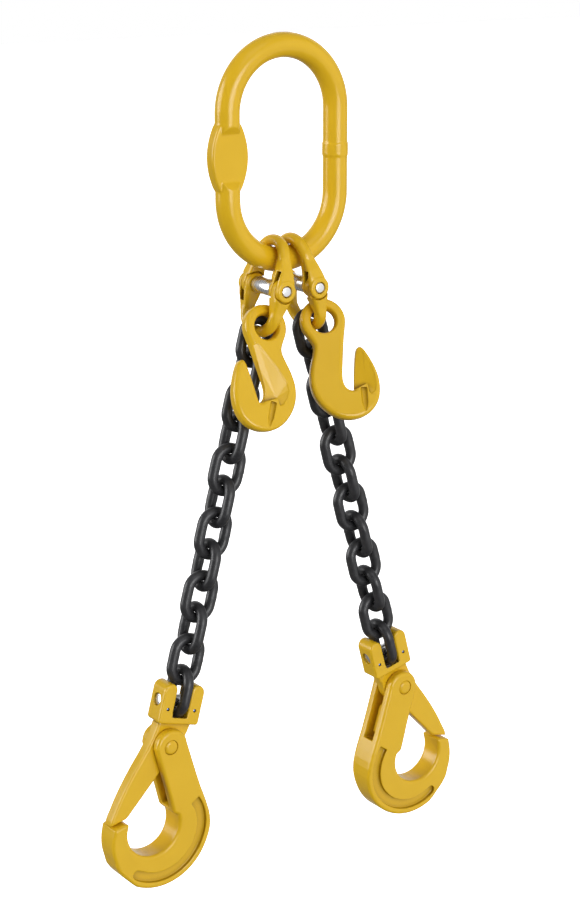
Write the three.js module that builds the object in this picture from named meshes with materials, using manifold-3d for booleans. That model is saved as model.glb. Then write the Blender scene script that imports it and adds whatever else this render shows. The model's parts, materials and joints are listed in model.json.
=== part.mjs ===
// Two-leg chain sling: oblong master link, two coupling links, two shortening
// grab hooks, two legs of twelve chain links and two clevis self-locking hooks.
// Millimetres, +Z up. Origin: the bearing point of the crane hook, on the inner
// crown of the master link. X runs across the master link, -Y is its front.
import * as THREE from 'three';
import { mergeVertices } from 'three/addons/utils/BufferGeometryUtils.js';
import Module from 'manifold-3d';

const wasm = await Module();
wasm.setup();

// ---------------------------------------------------------------- dimensions
const GAP = 0.3;                     // working clearance between loose pieces

const MASTER = { bar: 18, innerW: 75, innerL: 135.4, plateH: 48, plateW: 28, plateT: 11.5 };
const PAD = { neck: 7.5, steps: 8, edge: 1.6 };   // marking pad of the master link
const WELD = { swell: 0.5, height: 9 };           // resistance weld of the master link
const COUPLING = { pinX: 14.5, pinZ: -163.2, y: -1.3, half: 26.4, barR: 4.1, barSide: 4.8, earR: 8,
  pinR: 4.2, sleeveR: 6.1, earInner: 13.6, tongue: 4.2, footY: 20.2, footZ: 3 };
// upper half: inner crown height, corner radius, half width and lean of its legs
const UPPER_HALF = { crown: 30.2, corner: 16.1, half: 16.1, lean: 12, forkSide: -1 };
const LOWER_HALF = { crown: 28.65, corner: 16, half: 19, lean: 0, forkSide: 1 };
const LEG_ANGLE = 15;                // each leg leans out from the vertical, degrees
const CHAIN = { wire: 8, innerL: 24.5, innerW: 13.4, pitch: 24.1, links: 12, firstAt: 40.3, y: -0.9 };
const CLEVIS = { pinAt: 312.65, halfW: 17.5, bottom: 43.5, top: 73.8, halfT: 8.8, slot: 6.5,
  floorR: 14.2, pinR: 4.6, keepU: 11.8, keepV: 54.7, keepR: 1, armHalfT: 5 };
const HOOK = { datum: 372.5, cheekHalfT: 12.2, bowlHalfT: 9.8, slotHalf: 5.6,
  rivetU: 4, rivetV: 26.8, rivetR: 5.5, outerR: 44, cu: -4.4, cv: -40, bowlR: 21.8, bu: 2.4, bv: -37 };
const RECESS = { outerR: 39.2, innerR: 31, from: 131, to: 292, depth: 2.2 };  // crescent on the hook's faces
const TAPER = { from: -12, run: 40 };             // where the hook starts thinning, and over what height
const WAIST = { r: 3.3, flat: 1.8, end: 2.3 };    // grooves of the load pin for the retaining pins
const TRIGGER = { u: -15.5, v: 4, pinR: 2, halfT: 3.4, pinHalf: 5.3 };
const SPRING = { turns: 2.5, steps: 26, coilR: 3.2, wire: 0.45, height: 5.2, tilt: 34.8, u: -17.2, v: -11.2 };
const GRAB = { eyeR: 16.8, holeR: 8.9, halfT: 5, edge: 2.2, flareStart: 3.2, flareWidth: 2.2 };
// cradle floors as [x, z, depth below the face]: the horn's on the front face, the shank's on the back
const CRADLE = {
  front: [
    [22.6, -51.5, 2.6], [22.8, -58, 1.5], [24, -60, 0.5], [27.4, -58, 0.4], [29.4, -53, 0.4],
    [29.6, -46, 0.4], [28, -36, 0.4], [25, -23, 0.4], [25, -17, 0.4], [13, -17, 4.2], [13, -54.6, 4.2],
  ],
  back: [
    [-2, -52.5, 2.6], [11.8, -55, 4.2], [13.4, -55, 4.2], [15, -17, 4.2], [13.4, -13, 1.6], [9.6, -12, 0.4],
    [1.4, -23, 0.4], [-4.9, -31.7, 0.4], [-10.8, -42, 0.4], [-11.8, -47, 0.4], [-9.5, -53, 0.4],
    [-5.5, -57.5, 0.5], [-2.6, -58, 1.5],
  ],
};
// groove in the raised stop below the slot: where it starts and ends on each face
const STOP_GROOVE = {
  front: [[19.4, -54], [17.2, -73]],
  back: [[1.8, -55], [8.4, -74]],
  wide: 2.5,
  narrow: 0.4,
};
const GRAB_POSE = {
  left: { at: [-24.3, -12.35, -190.6], yaw: -3, pitch: 22, lean: -5 },
  right: { at: [24.3, -16.3, -190.8], yaw: -22, pitch: 26, lean: 6 },
};
const THROUGH = 40;                               // half length of a cutter that passes right through

// ---------------------------------------------------------------- materials
const paint = () => new THREE.MeshStandardMaterial({ color: 0xe0af25, roughness: 0.38, metalness: 0.0 });
const black = () => new THREE.MeshStandardMaterial({ color: 0x2b2b2b, roughness: 0.5, metalness: 0.3 });
const steel = () => new THREE.MeshStandardMaterial({ color: 0xc9cccf, roughness: 0.25, metalness: 1.0 });

// ---------------------------------------------------------------- helpers
const rad = THREE.MathUtils.degToRad;
const polar = (cx, cy, r, deg) => [cx + r * Math.cos(rad(deg)), cy + r * Math.sin(rad(deg))];
const arc = (cx, cy, r, a0, a1, n) =>
  Array.from({ length: n + 1 }, (_, i) => polar(cx, cy, r, a0 + ((a1 - a0) * i) / n));

// geometry -> solid for cutting and joining
function solid(geometry) {
  let g = geometry.clone();
  g.deleteAttribute('normal');
  g.deleteAttribute('uv');
  g = mergeVertices(g, 1e-4);
  const p = g.getAttribute('position').array;
  const idx = g.index.array;
  const keep = [];
  for (let i = 0; i < idx.length; i += 3) {
    const [a, b, c] = [idx[i], idx[i + 1], idx[i + 2]];
    if (a !== b && b !== c && a !== c) keep.push(a, b, c);
  }
  let volume = 0;
  for (let i = 0; i < keep.length; i += 3) {
    const [a, b, c] = [keep[i] * 3, keep[i + 1] * 3, keep[i + 2] * 3];
    volume += p[a] * (p[b + 1] * p[c + 2] - p[b + 2] * p[c + 1])
      + p[a + 1] * (p[b + 2] * p[c] - p[b] * p[c + 2])
      + p[a + 2] * (p[b] * p[c + 1] - p[b + 1] * p[c]);
  }
  // faces must look outwards
  if (volume < 0) {
    for (let i = 0; i < keep.length; i += 3) [keep[i + 1], keep[i + 2]] = [keep[i + 2], keep[i + 1]];
  }
  const mesh = { numProp: 3, vertProperties: new Float32Array(p), triVerts: new Uint32Array(keep) };
  return new wasm.Manifold(new wasm.Mesh(mesh));
}

// solid -> geometry
function shell(manifold) {
  const m = manifold.getMesh();
  const n = m.vertProperties.length / m.numProp;
  const pos = new Float32Array(n * 3);
  for (let i = 0; i < n; i++) {
    for (let k = 0; k < 3; k++) pos[i * 3 + k] = m.vertProperties[i * m.numProp + k];
  }
  const g = new THREE.BufferGeometry();
  g.setAttribute('position', new THREE.BufferAttribute(pos, 3));
  g.setIndex(new THREE.BufferAttribute(new Uint32Array(m.triVerts), 1));
  g.computeVertexNormals();
  return g;
}

// closed outline in the XZ plane, thickened by halfT to both sides of y = 0,
// with edges rounded by `bevel`
function plate(points, halfT, bevel = 0) {
  const shape = new THREE.Shape(points.map(([x, z]) => new THREE.Vector2(x, z)));
  const g = new THREE.ExtrudeGeometry(shape, {
    depth: 2 * (halfT - bevel), steps: 1, bevelEnabled: bevel > 0,
    bevelThickness: bevel, bevelSize: bevel, bevelOffset: -bevel, bevelSegments: 1,
  });
  g.translate(0, 0, -(halfT - bevel));
  g.rotateX(Math.PI / 2);
  return g;
}

const block = (x0, x1, y0, y1, z0, z1) =>
  new THREE.BoxGeometry(x1 - x0, y1 - y0, z1 - z0).translate((x0 + x1) / 2, (y0 + y1) / 2, (z0 + z1) / 2);

// round bar along Y, X or Z
const rodY = (r, y0, y1, x = 0, z = 0, n = 24) =>
  new THREE.CylinderGeometry(r, r, y1 - y0, n).translate(x, (y0 + y1) / 2, z);
const rodX = (r, x0, x1, y = 0, z = 0, n = 24) =>
  new THREE.CylinderGeometry(r, r, x1 - x0, n).rotateZ(Math.PI / 2).translate((x0 + x1) / 2, y, z);

// profile [radius, y] turned about the Y axis
const turnedY = (profile, n = 24) =>
  new THREE.LatheGeometry(profile.map(([r, y]) => new THREE.Vector2(r, y)), n);

// half a profile and its mirror image across y = 0
const mirrored = (half) => [...half, ...half.map(([r, y]) => [r, -y]).reverse()];

// round bar swept along stations {p:[x,y,z], t:[x,y,z]} that lie in one plane
// with normal `side`; closed loops join their ends, open ones get flat caps
function sweep(stations, radius, side, sides, closed, sideRadius = radius) {
  const verts = [];
  const idx = [];
  const s = new THREE.Vector3(...side);
  const count = stations.length;
  stations.forEach(({ p, t }) => {
    const n = new THREE.Vector3(...t).normalize().cross(s).normalize();
    for (let k = 0; k < sides; k++) {
      const a = ((k + 0.5) / sides) * 2 * Math.PI;
      const c = radius * Math.cos(a);
      const d = sideRadius * Math.sin(a);
      verts.push(p[0] + c * n.x + d * s.x, p[1] + c * n.y + d * s.y, p[2] + c * n.z + d * s.z);
    }
  });
  const runs = closed ? count : count - 1;
  for (let i = 0; i < runs; i++) {
    const a = i * sides;
    const b = ((i + 1) % count) * sides;
    for (let k = 0; k < sides; k++) {
      const k2 = (k + 1) % sides;
      idx.push(a + k, b + k, b + k2, a + k, b + k2, a + k2);
    }
  }
  if (!closed) {
    for (const [base, flip] of [[0, false], [(count - 1) * sides, true]]) {
      for (let k = 1; k < sides - 1; k++) {
        idx.push(base, flip ? base + k + 1 : base + k, flip ? base + k : base + k + 1);
      }
    }
  }
  const g = new THREE.BufferGeometry();
  g.setAttribute('position', new THREE.BufferAttribute(new Float32Array(verts), 3));
  g.setIndex(idx);
  return g;
}

// oblong loop in the XZ plane: two half-circles of centreline radius R whose
// centres lie +-h from the middle
function oblong(R, h, n) {
  const out = [];
  for (let i = 0; i <= n; i++) {
    const a = rad((180 * i) / n);
    out.push({ p: [R * Math.cos(a), 0, h + R * Math.sin(a)], t: [-Math.sin(a), 0, Math.cos(a)] });
  }
  for (let i = 0; i <= n; i++) {
    const a = rad(180 + (180 * i) / n);
    out.push({ p: [R * Math.cos(a), 0, -h + R * Math.sin(a)], t: [-Math.sin(a), 0, Math.cos(a)] });
  }
  return out;
}

const root = new THREE.Group();

function add(parent, name, manifoldOrGeometry, material) {
  const m = manifoldOrGeometry.isBufferGeometry ? solid(manifoldOrGeometry) : manifoldOrGeometry;
  const mesh = new THREE.Mesh(shell(m), material);
  mesh.name = name;
  parent.add(mesh);
  return mesh;
}

// ---------------------------------------------------------------- master link
function masterLink() {
  const r = MASTER.bar / 2;
  const R = (MASTER.innerW + MASTER.bar) / 2;
  const h = (MASTER.innerL - MASTER.innerW) / 2;
  const mid = -MASTER.innerL / 2;
  let link = solid(sweep(oblong(R, h, 15), r, [0, 1, 0], 12, true).translate(0, 0, mid));
  // forged marking pad on the left bar, flat front and back, widest at the middle
  const half = MASTER.plateH / 2;
  const flat = MASTER.plateT / 2;
  const pad = [];
  for (const side of [-1, 1]) {
    for (let i = 0; i <= PAD.steps; i++) {
      const z = -side * half * (1 - (2 * i) / PAD.steps);
      const bulge = Math.max(0, Math.cos((z / half) * (Math.PI / 2))) ** 0.8;
      pad.push([side * (PAD.neck + (MASTER.plateW / 2 - PAD.neck) * bulge), z]);
    }
  }
  for (const side of [-1, 1]) {
    const [y0, y1] = side < 0 ? [-THROUGH, -flat] : [flat, THROUGH];
    link = link.subtract(solid(block(-R - MASTER.bar, -R + MASTER.bar, y0, y1, mid - half, mid + half)));
  }
  link = link.add(solid(plate(pad, flat, PAD.edge).translate(-R, 0, mid)));
  // resistance weld swelling on the right bar
  const weld = new THREE.CylinderGeometry(r + WELD.swell, r + WELD.swell, WELD.height, 14);
  return link.add(solid(weld.rotateX(Math.PI / 2).translate(R, 0, mid)));
}

// ---------------------------------------------------------------- couplings
// half of a coupling link: arched bar in the YZ plane with its two ears on the
// pin axis (Y) at the origin, crown towards +Z. forkSide is the side (-1 front,
// +1 back) whose ear is a fork; the other ear is a tongue.
function couplingHalf({ crown, corner, half, lean, forkSide }) {
  const { barR, barSide, earR, earInner, half: outer, footY, footZ } = COUPLING;
  const top = crown + barR;
  const steps = 5;
  const inward = lean ? 0.3 : 0.05;
  const st = [{ p: [0, -footY, footZ], t: [0, inward, 1] }];
  for (const [s, a0, a1] of [[-1, 180 - lean, 90], [1, 90, lean]]) {
    for (let i = s > 0 && half === corner ? 1 : 0; i <= steps; i++) {
      const a = rad(a0 + ((a1 - a0) * i) / steps);
      const p = [0, s * (half - corner) + corner * Math.cos(a), top - corner + corner * Math.sin(a)];
      st.push({ p, t: [0, Math.sin(a), -Math.cos(a)] });
    }
  }
  st.push({ p: [0, footY, footZ], t: [0, inward, -1] });
  let body = solid(sweep(st, barR, [1, 0, 0], 12, false, barSide));
  const mid = (earInner + outer) / 2;
  const ear = [...arc(0, 0, earR, 180, 360, 8), [5.2, 13.5], [3.4, 17.5], [-3.4, 17.5], [-5.2, 13.5]];
  for (const s of [-1, 1]) {
    body = body.add(solid(plate(ear, (outer - earInner) / 2, 1).translate(0, s * mid, 0)));
  }
  const w = COUPLING.tongue / 2;
  const round = earR + 1.2;
  const reach = 12;                  // past either side of an ear
  for (const s of [-1, 1]) {
    const cuts = s === forkSide
      ? [[s * mid - w - GAP, s * mid + w + GAP]]
      : [[s * mid + w, s * mid + reach], [s * mid - reach, s * mid - w]];
    for (const [y0, y1] of cuts) body = body.subtract(solid(rodY(round, y0, y1, 0, 0, 20)));
  }
  body = body.subtract(solid(rodY(COUPLING.pinR + GAP, -THROUGH, THROUGH, 0, 0, 16)));
  // room for the retaining sleeve between the ears
  const room = earInner - 0.01;
  return body.subtract(solid(rodY(COUPLING.sleeveR + 1, -room, room, 0, 0, 20)));
}

function coupling(parent, side, tag) {
  const at = new THREE.Group();
  at.position.set(side * COUPLING.pinX, COUPLING.y, COUPLING.pinZ);
  parent.add(at);
  // the upper half points at the centre of the master link's lower arc
  const arcZ = -MASTER.innerL / 2 - (MASTER.innerL - MASTER.innerW) / 2;
  const tilt = Math.atan2(COUPLING.pinX, arcZ - COUPLING.pinZ);
  const upper = add(at, `coupling_upper_half_${tag}`, couplingHalf(UPPER_HALF), paint());
  upper.rotation.y = -side * tilt;
  const lower = add(at, `coupling_lower_half_${tag}`, couplingHalf(LOWER_HALF), paint());
  lower.rotation.y = Math.PI - side * rad(LEG_ANGLE);
  const end = COUPLING.half - 0.2;
  const r = COUPLING.pinR;
  const half = [[0, -end], [r - 0.8, -end], [r, 0.8 - end]];
  add(at, `coupling_pin_${tag}`, turnedY(mirrored(half), 16), steel());
  const sl = COUPLING.earInner - GAP;
  const bore = solid(rodY(r + GAP, -THROUGH, THROUGH, 0, 0, 16));
  const sleeve = solid(rodY(COUPLING.sleeveR, -sl, sl, 0, 0, 16));
  add(at, `coupling_sleeve_${tag}`, sleeve.subtract(bore), steel());
}

// ---------------------------------------------------------------- grab hook
// cutter down to a folded floor in one face, fanned out from the floor's first corner
function cradleCutter(floor, side) {
  const n = floor.length;
  const above = 3;                   // how far the cutter stands out of the face
  const verts = [
    ...floor.map(([x, z, depth]) => [x, side * (GRAB.halfT - depth), z]),
    ...floor.map(([x, z]) => [x, side * (GRAB.halfT + above), z]),
  ];
  const idx = [];
  for (let i = 1; i < n - 1; i++) idx.push(0, i + 1, i, n, n + i, n + i + 1);
  for (let i = 0; i < n; i++) {
    const j = (i + 1) % n;
    idx.push(i, j, n + j, i, n + j, n + i);
  }
  const g = new THREE.BufferGeometry();
  g.setAttribute('position', new THREE.BufferAttribute(new Float32Array(verts.flat()), 3));
  g.setIndex(idx);
  return g;
}

// tapered cutter lying in one face, wide and deep at the slot's end
function grooveCutter([[x0, z0], [x1, z1]], side) {
  const along = new THREE.Vector3(x1 - x0, 0, z1 - z0);
  const length = along.length();
  along.normalize();
  const out = new THREE.Vector3(0, side, 0);
  const across = new THREE.Vector3().crossVectors(along, out);
  const profile = [[0, 0], [STOP_GROOVE.wide, 0], [STOP_GROOVE.narrow, length], [0, length]];
  const place = new THREE.Matrix4().makeBasis(across, along, out);
  return turnedY(profile, 12).applyMatrix4(place).translate(x0, side * (GRAB.halfT + 0.2), z0);
}

// eye centre at the origin, hook hanging towards -Z, tip towards +X
function grabHookSolid() {
  const outline = [
    ...arc(0, 0, GRAB.eyeR, 212, -18, 14),
    [12.6, -16], [10.6, -24], [8.6, -32], [6.6, -40], [5.6, -46], [6.4, -51], [9, -54], [12.6, -55],
    [13.6, -52], [15.6, -42], [18, -32], [20.2, -24.6], [22.4, -23], [25.4, -24.4],
    [28.8, -32], [31.4, -40], [32.8, -48], [32.2, -57], [29.4, -65], [23.6, -71.6], [15, -75.6], [5.4, -76],
    [-3.2, -73], [-10.2, -67.4], [-15.6, -60], [-18.6, -51.4], [-18.6, -42], [-16, -32.6], [-12.4, -24.5],
    [-10.6, -19], [-11, -15.4],
  ];
  const { holeR, halfT, flareStart } = GRAB;
  let hook = solid(plate(outline, halfT, GRAB.edge));
  hook = hook.subtract(solid(rodY(holeR, -THROUGH, THROUGH, 0, 0, 24)));
  const lip = halfT + 0.4;
  const mouth = [[0, flareStart], [holeR - 0.4, flareStart], [holeR + GRAB.flareWidth, lip], [0, lip]];
  for (const [side, face] of [[-1, 'front'], [1, 'back']]) {
    const flare = turnedY(mouth, 24);
    hook = hook.subtract(solid(side > 0 ? flare : flare.rotateX(Math.PI)));
    hook = hook.subtract(solid(cradleCutter(CRADLE[face], side)));
    hook = hook.subtract(solid(grooveCutter(STOP_GROOVE[face], side)));
  }
  return hook;
}

function grabHook(parent, side, tag) {
  const pose = GRAB_POSE[tag];
  const mesh = add(parent, `grab_hook_${tag}`, grabHookSolid(), paint());
  const m = new THREE.Matrix4().makeRotationZ(rad(pose.yaw));
  m.multiply(new THREE.Matrix4().makeRotationX(rad(-pose.pitch)));
  m.multiply(new THREE.Matrix4().makeRotationY(-rad(pose.lean)));
  if (side < 0) m.multiply(new THREE.Matrix4().makeRotationZ(Math.PI));
  mesh.quaternion.setFromRotationMatrix(m);
  mesh.position.set(...pose.at);
}

// ---------------------------------------------------------------- chain leg
function chainLink() {
  const R = (CHAIN.innerW + CHAIN.wire) / 2;
  const h = (CHAIN.innerL - CHAIN.innerW) / 2;
  return sweep(oblong(R, h, 6), CHAIN.wire / 2, [0, 1, 0], 8, true);
}

// ---------------------------------------------------------------- clevis hook
// hook datum frame: +X towards the tip, +Z up along the leg, y = 0 mid-plane
const DV = CLEVIS.pinAt - HOOK.datum;          // datum lies below the load pin
const PIN_V = -DV;

function clevisBody() {
  const { halfW: w, bottom, top, slot } = CLEVIS;
  const ears = [
    [-w, bottom + 1.5], [-w + 1.5, bottom], [w - 1.5, bottom], [w, bottom + 1.5],
    ...arc(w - 6, top - 6, 6, 0, 90, 4), ...arc(slot + 5, top - 5, 5, 90, 180, 3),
    ...arc(-slot - 5, top - 5, 5, 0, 90, 3), ...arc(-w + 6, top - 6, 6, 90, 180, 4),
  ];
  // close the outline between the ears just above the floor of the slot
  const right = ears.findIndex(([x, z]) => Math.abs(x - slot) < 1e-6 && z > bottom + 10);
  ears.splice(right + 1, 0, [slot, PIN_V - 8], [-slot, PIN_V - 8]);
  let body = solid(plate(ears, CLEVIS.halfT, 1.3));
  // round floor of the slot, concentric with the load pin
  body = body.subtract(solid(rodX(CLEVIS.floorR, -slot, slot, 0, PIN_V, 32)));
  body = body.subtract(solid(block(-slot, slot, -THROUGH, THROUGH, PIN_V - 8.2, top + 10)));
  // neck and latch arm
  const arm = [
    [-14.2, 46], [-12.6, 38], [-11, 33], [-10.4, 24], [-7.4, 18.6], [-2.6, 15.4], [2.2, 9], [6.4, 0.8],
    [11.4, -8.4], [16.2, -17.2], [20.4, -24.6], [23.2, -30], [25, -32], [36.5, -38.1], [36.9, -34],
    [35.4, -28], [33.2, -17.6], [29.6, -5.4], [24.8, 8], [20.6, 18], [17.4, 28], [15.4, 36], [14.2, 46],
  ];
  body = body.add(solid(plate(arm, CLEVIS.armHalfT, 1.2)));
  body = body.subtract(solid(rodX(CLEVIS.floorR, -slot, slot, 0, PIN_V, 32)));
  // load pin bore, retaining pin bores and rivet bore
  body = body.subtract(solid(rodX(CLEVIS.pinR + GAP, -THROUGH, THROUGH, 0, PIN_V, 24)));
  for (const s of [-1, 1]) {
    const bore = rodY(CLEVIS.keepR + GAP, -THROUGH, THROUGH, s * CLEVIS.keepU, CLEVIS.keepV, 12);
    body = body.subtract(solid(bore));
  }
  return body.subtract(solid(rodY(HOOK.rivetR + GAP, -THROUGH, THROUGH, HOOK.rivetU, HOOK.rivetV, 28)));
}

// how far the forging taper has gone at height v, from 0 at the cheeks to 1 at the bowl
const tapered = (v) => THREE.MathUtils.clamp((TAPER.from - v) / TAPER.run, 0, 1);

function hookBody() {
  const outline = [
    ...arc(2.7, 27, 13, 160, 0, 10),
    [15.4, 22.4], [2, 0.4], [-9.6, -20.6], [-11.4, -24.2],
    ...arc(HOOK.bu, HOOK.bv, HOOK.bowlR, 148, 352, 18),
    [24.6, -32.6], [35.6, -38.9],
    ...arc(HOOK.cu + 3.2, HOOK.cv - 3, 36.6, 3, -34, 4),
    ...arc(HOOK.cu, HOOK.cv, HOOK.outerR - 1.8, -44, -62, 2),
    ...arc(HOOK.cu, HOOK.cv, HOOK.outerR, -76, -192, 12),
    [-44.4, -23], [-36.4, -10.6], [-28.8, 0],
  ];
  const g = plate(outline, HOOK.cheekHalfT, 2.2);
  // forging taper: thinner towards the bowl
  const p = g.getAttribute('position');
  for (let i = 0; i < p.count; i++) {
    p.setY(i, p.getY(i) * (1 - tapered(p.getZ(i)) * (1 - HOOK.bowlHalfT / HOOK.cheekHalfT)));
  }
  let body = solid(g);
  // fork slot between the cheeks, square to the shank
  const cut = [
    [-36, -3.9], [-33.2, -5.9], [-9.2, -22.6], [4, -20], [50, 0], [50, 60], [-60, 60], [-60, 12.9],
  ];
  body = body.subtract(solid(plate(cut, HOOK.slotHalf)));
  // crescent recess near the back edge of both faces
  const centre = [HOOK.cu, HOOK.cv];
  const { outerR, innerR, from, to, depth } = RECESS;
  const groove = [
    ...arc(...centre, outerR, from, to, 16), polar(...centre, outerR - 2.2, to + 4),
    polar(...centre, innerR + 2.4, to + 4), ...arc(...centre, innerR, to - 1, from, 14),
  ];
  for (const s of [-1, 1]) {
    const r = plate(groove, 10);
    const q = r.getAttribute('position');
    for (let i = 0; i < q.count; i++) {
      const face = HOOK.cheekHalfT - tapered(q.getZ(i)) * (HOOK.cheekHalfT - HOOK.bowlHalfT);
      q.setY(i, q.getY(i) * s > 0 ? s * THROUGH : s * (face - depth));
    }
    body = body.subtract(solid(r));
  }
  return body.subtract(solid(rodY(HOOK.rivetR + GAP, -THROUGH, THROUGH, HOOK.rivetU, HOOK.rivetV, 28)));
}

// flat-backed lock trigger inside the fork slot, its back along the hook's back edge
function triggerSolid() {
  const { u, v, halfT, pinR } = TRIGGER;
  const lever = [
    [u - 9.2, v - 8.2], [u - 5.6, v - 9.4], [u - 2.6, v - 6.4], [u + 2.5, v - 6.4], [u + 6, v - 3],
    [u + 7.4, v + 3], [u + 6.6, v + 10], [u + 3, v + 10.6], [u + 1.4, v + 9.2],
  ];
  return solid(plate(lever, halfT, 0.5)).subtract(solid(rodY(pinR + GAP, -THROUGH, THROUGH, u, v, 16)));
}

// small coil bearing on the slot floor, under the lever's heel
function triggerSpring() {
  const { turns, steps, coilR, wire, height, tilt, u, v } = SPRING;
  const coil = [];
  for (let i = 0; i <= steps; i++) {
    const a = (2 * Math.PI * turns * i) / steps;
    coil.push(new THREE.Vector3(coilR * Math.cos(a), coilR * Math.sin(a), (height * i) / steps));
  }
  const section = new THREE.Shape([0, 90, 180, 270].map((a) => new THREE.Vector2(...polar(0, 0, wire, a))));
  const path = new THREE.CatmullRomCurve3(coil);
  const g = new THREE.ExtrudeGeometry(section, { steps, extrudePath: path, bevelEnabled: false });
  return g.rotateY(rad(-tilt)).translate(u, 0, v);
}

function pivotRivet() {
  const e = HOOK.cheekHalfT;
  const r = HOOK.rivetR;
  const half = [[0, -e - 0.9], [3.6, -e - 0.7], [r - 0.2, -e + 0.3], [r, -e + 0.8]];
  return turnedY(mirrored(half), 18).translate(HOOK.rivetU, 0, HOOK.rivetV);
}

// load pin with two waisted grooves for the retaining pins
function loadPin() {
  const end = CLEVIS.halfW - 1.2;
  const r = CLEVIS.pinR;
  const k = CLEVIS.keepU;
  const half = [
    [0, -end], [r - 0.7, -end], [r, -end + 0.7], [r, -k - WAIST.end], [WAIST.r, -k - WAIST.flat],
    [WAIST.r, -k + WAIST.flat], [r, -k + WAIST.end],
  ];
  return turnedY(mirrored(half), 12).rotateZ(-Math.PI / 2).translate(0, 0, PIN_V);
}

// ---------------------------------------------------------------- assembly
add(root, 'master_link', masterLink(), paint());
for (const [side, tag] of [[-1, 'left'], [1, 'right']]) {
  coupling(root, side, tag);
  grabHook(root, side, tag);

  const leg = new THREE.Group();
  leg.position.set(side * COUPLING.pinX, CHAIN.y, COUPLING.pinZ);
  leg.rotation.set(0, -side * rad(LEG_ANGLE), 0);
  root.add(leg);
  for (let k = 1; k <= CHAIN.links; k++) {
    const link = add(leg, `chain_link_${tag}_${String(k).padStart(2, '0')}`, chainLink(), black());
    link.position.set(0, 0, -(CHAIN.firstAt + (k - 1) * CHAIN.pitch));
    if (k % 2 === 0) link.rotation.z = Math.PI / 2;
  }

  const hook = new THREE.Group();
  hook.position.set(0, 0, -HOOK.datum);
  if (side < 0) hook.rotation.z = Math.PI;
  leg.add(hook);
  add(hook, `clevis_latch_${tag}`, clevisBody(), paint());
  add(hook, `hook_body_${tag}`, hookBody(), paint());
  add(hook, `pivot_rivet_${tag}`, pivotRivet(), paint());
  add(hook, `load_pin_${tag}`, loadPin(), steel());
  const keepEnd = CLEVIS.halfT - GAP;
  for (const [s, which] of [[-1, 'inner'], [1, 'outer']]) {
    const keeper = rodY(CLEVIS.keepR, -keepEnd, keepEnd, s * CLEVIS.keepU, CLEVIS.keepV, 10);
    add(hook, `retaining_pin_${which}_${tag}`, keeper, steel());
  }
  add(hook, `lock_trigger_${tag}`, triggerSolid(), paint());
  const { pinR, pinHalf, u, v } = TRIGGER;
  add(hook, `trigger_pin_${tag}`, rodY(pinR, -pinHalf, pinHalf, u, v, 12), steel());
  add(hook, `trigger_spring_${tag}`, triggerSpring(), steel());
}

export default root;
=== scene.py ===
"""Two-leg chain sling: the finely shaped pieces, their finishes, the light and the camera.

Shapes are drawn in millimetres in each piece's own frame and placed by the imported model's joints.
"""
import json
import math

import bmesh
import bpy
from mathutils import Matrix, Vector


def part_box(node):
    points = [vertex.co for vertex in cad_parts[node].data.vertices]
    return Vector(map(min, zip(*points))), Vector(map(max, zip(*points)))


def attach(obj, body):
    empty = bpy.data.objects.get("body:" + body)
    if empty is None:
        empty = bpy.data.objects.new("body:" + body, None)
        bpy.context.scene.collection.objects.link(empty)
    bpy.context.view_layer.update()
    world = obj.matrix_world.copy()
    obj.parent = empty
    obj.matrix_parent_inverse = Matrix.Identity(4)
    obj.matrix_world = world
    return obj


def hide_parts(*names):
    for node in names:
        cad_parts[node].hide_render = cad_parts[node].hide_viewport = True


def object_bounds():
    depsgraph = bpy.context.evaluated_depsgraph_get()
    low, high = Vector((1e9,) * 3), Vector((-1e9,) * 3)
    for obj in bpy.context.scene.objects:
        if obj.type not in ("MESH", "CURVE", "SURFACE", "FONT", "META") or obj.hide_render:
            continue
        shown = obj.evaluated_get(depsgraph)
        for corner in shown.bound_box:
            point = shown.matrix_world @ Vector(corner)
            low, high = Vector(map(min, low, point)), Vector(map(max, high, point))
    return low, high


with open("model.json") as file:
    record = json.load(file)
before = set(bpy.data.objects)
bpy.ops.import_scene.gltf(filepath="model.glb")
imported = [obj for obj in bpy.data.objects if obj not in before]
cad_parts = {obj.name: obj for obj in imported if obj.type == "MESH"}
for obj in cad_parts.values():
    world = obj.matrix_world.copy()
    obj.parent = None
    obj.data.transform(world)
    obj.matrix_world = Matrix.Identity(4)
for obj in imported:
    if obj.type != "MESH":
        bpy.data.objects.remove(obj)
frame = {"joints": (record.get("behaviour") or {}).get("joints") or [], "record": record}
cad_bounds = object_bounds()

MM = 0.001
# clearance round a pin or beside a tongue, millimetres
GAP = 0.3
# edges that turn more than this stay crisp, degrees
CREASE = 38
# half the length of a cutter that runs right through a piece, millimetres
THROUGH = 30

# driving dimensions, millimetres and degrees
MASTER = dict(bar=18, inner_w=75, inner_l=135.4, pad_h=48, pad_w=30, pad_t=9.5, pad_tip=8.4, pad_edge=1.3,
              shoulder=7.5, slope_run=8, slope_rise=6, weld_h=9.4, weld_rise=0.55)
COUPLING = dict(half=26.4, bar=4.1, bar_side=4.8, ear=8, ear_edge=1.3, pin=4.2, sleeve=6.1, ear_inner=13.6,
                tongue=4.2, end_y=20.2, end_z=3, slot_top=13.5)
CHAIN = dict(wire=8, inner_l=24.5, inner_w=13.4, links=12, weld_rise=0.05)
CLEVIS = dict(pin_v=59.85, half_w=17.5, bottom=43.5, top=73.8, half_t=8.8, edge=1.4, slot=6.5, slot_low=8.2,
              floor=14.2, pin=4.6, pin_inset=1.2, waist=3.3, keep_u=11.8, keep_v=54.7, keep=1.0,
              arm_half_t=5, arm_edge=1.5)
HOOK = dict(cheek=12.2, bowl_t=9.8, edge=2.4, slot_half=5.6, rivet_u=4, rivet_v=26.8, rivet=5.5, outer=44,
            cu=-4.4, cv=-40, bowl=21.8, bu=2.4, bv=-37,
            recess=3.0, recess_in=31.4, recess_out=39.2, tail_at=35.4, tail=3.6)
GRAB = dict(eye=16.8, hole=8.9, hole_flare=3.0, half_t=5, edge=3.2)
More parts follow.
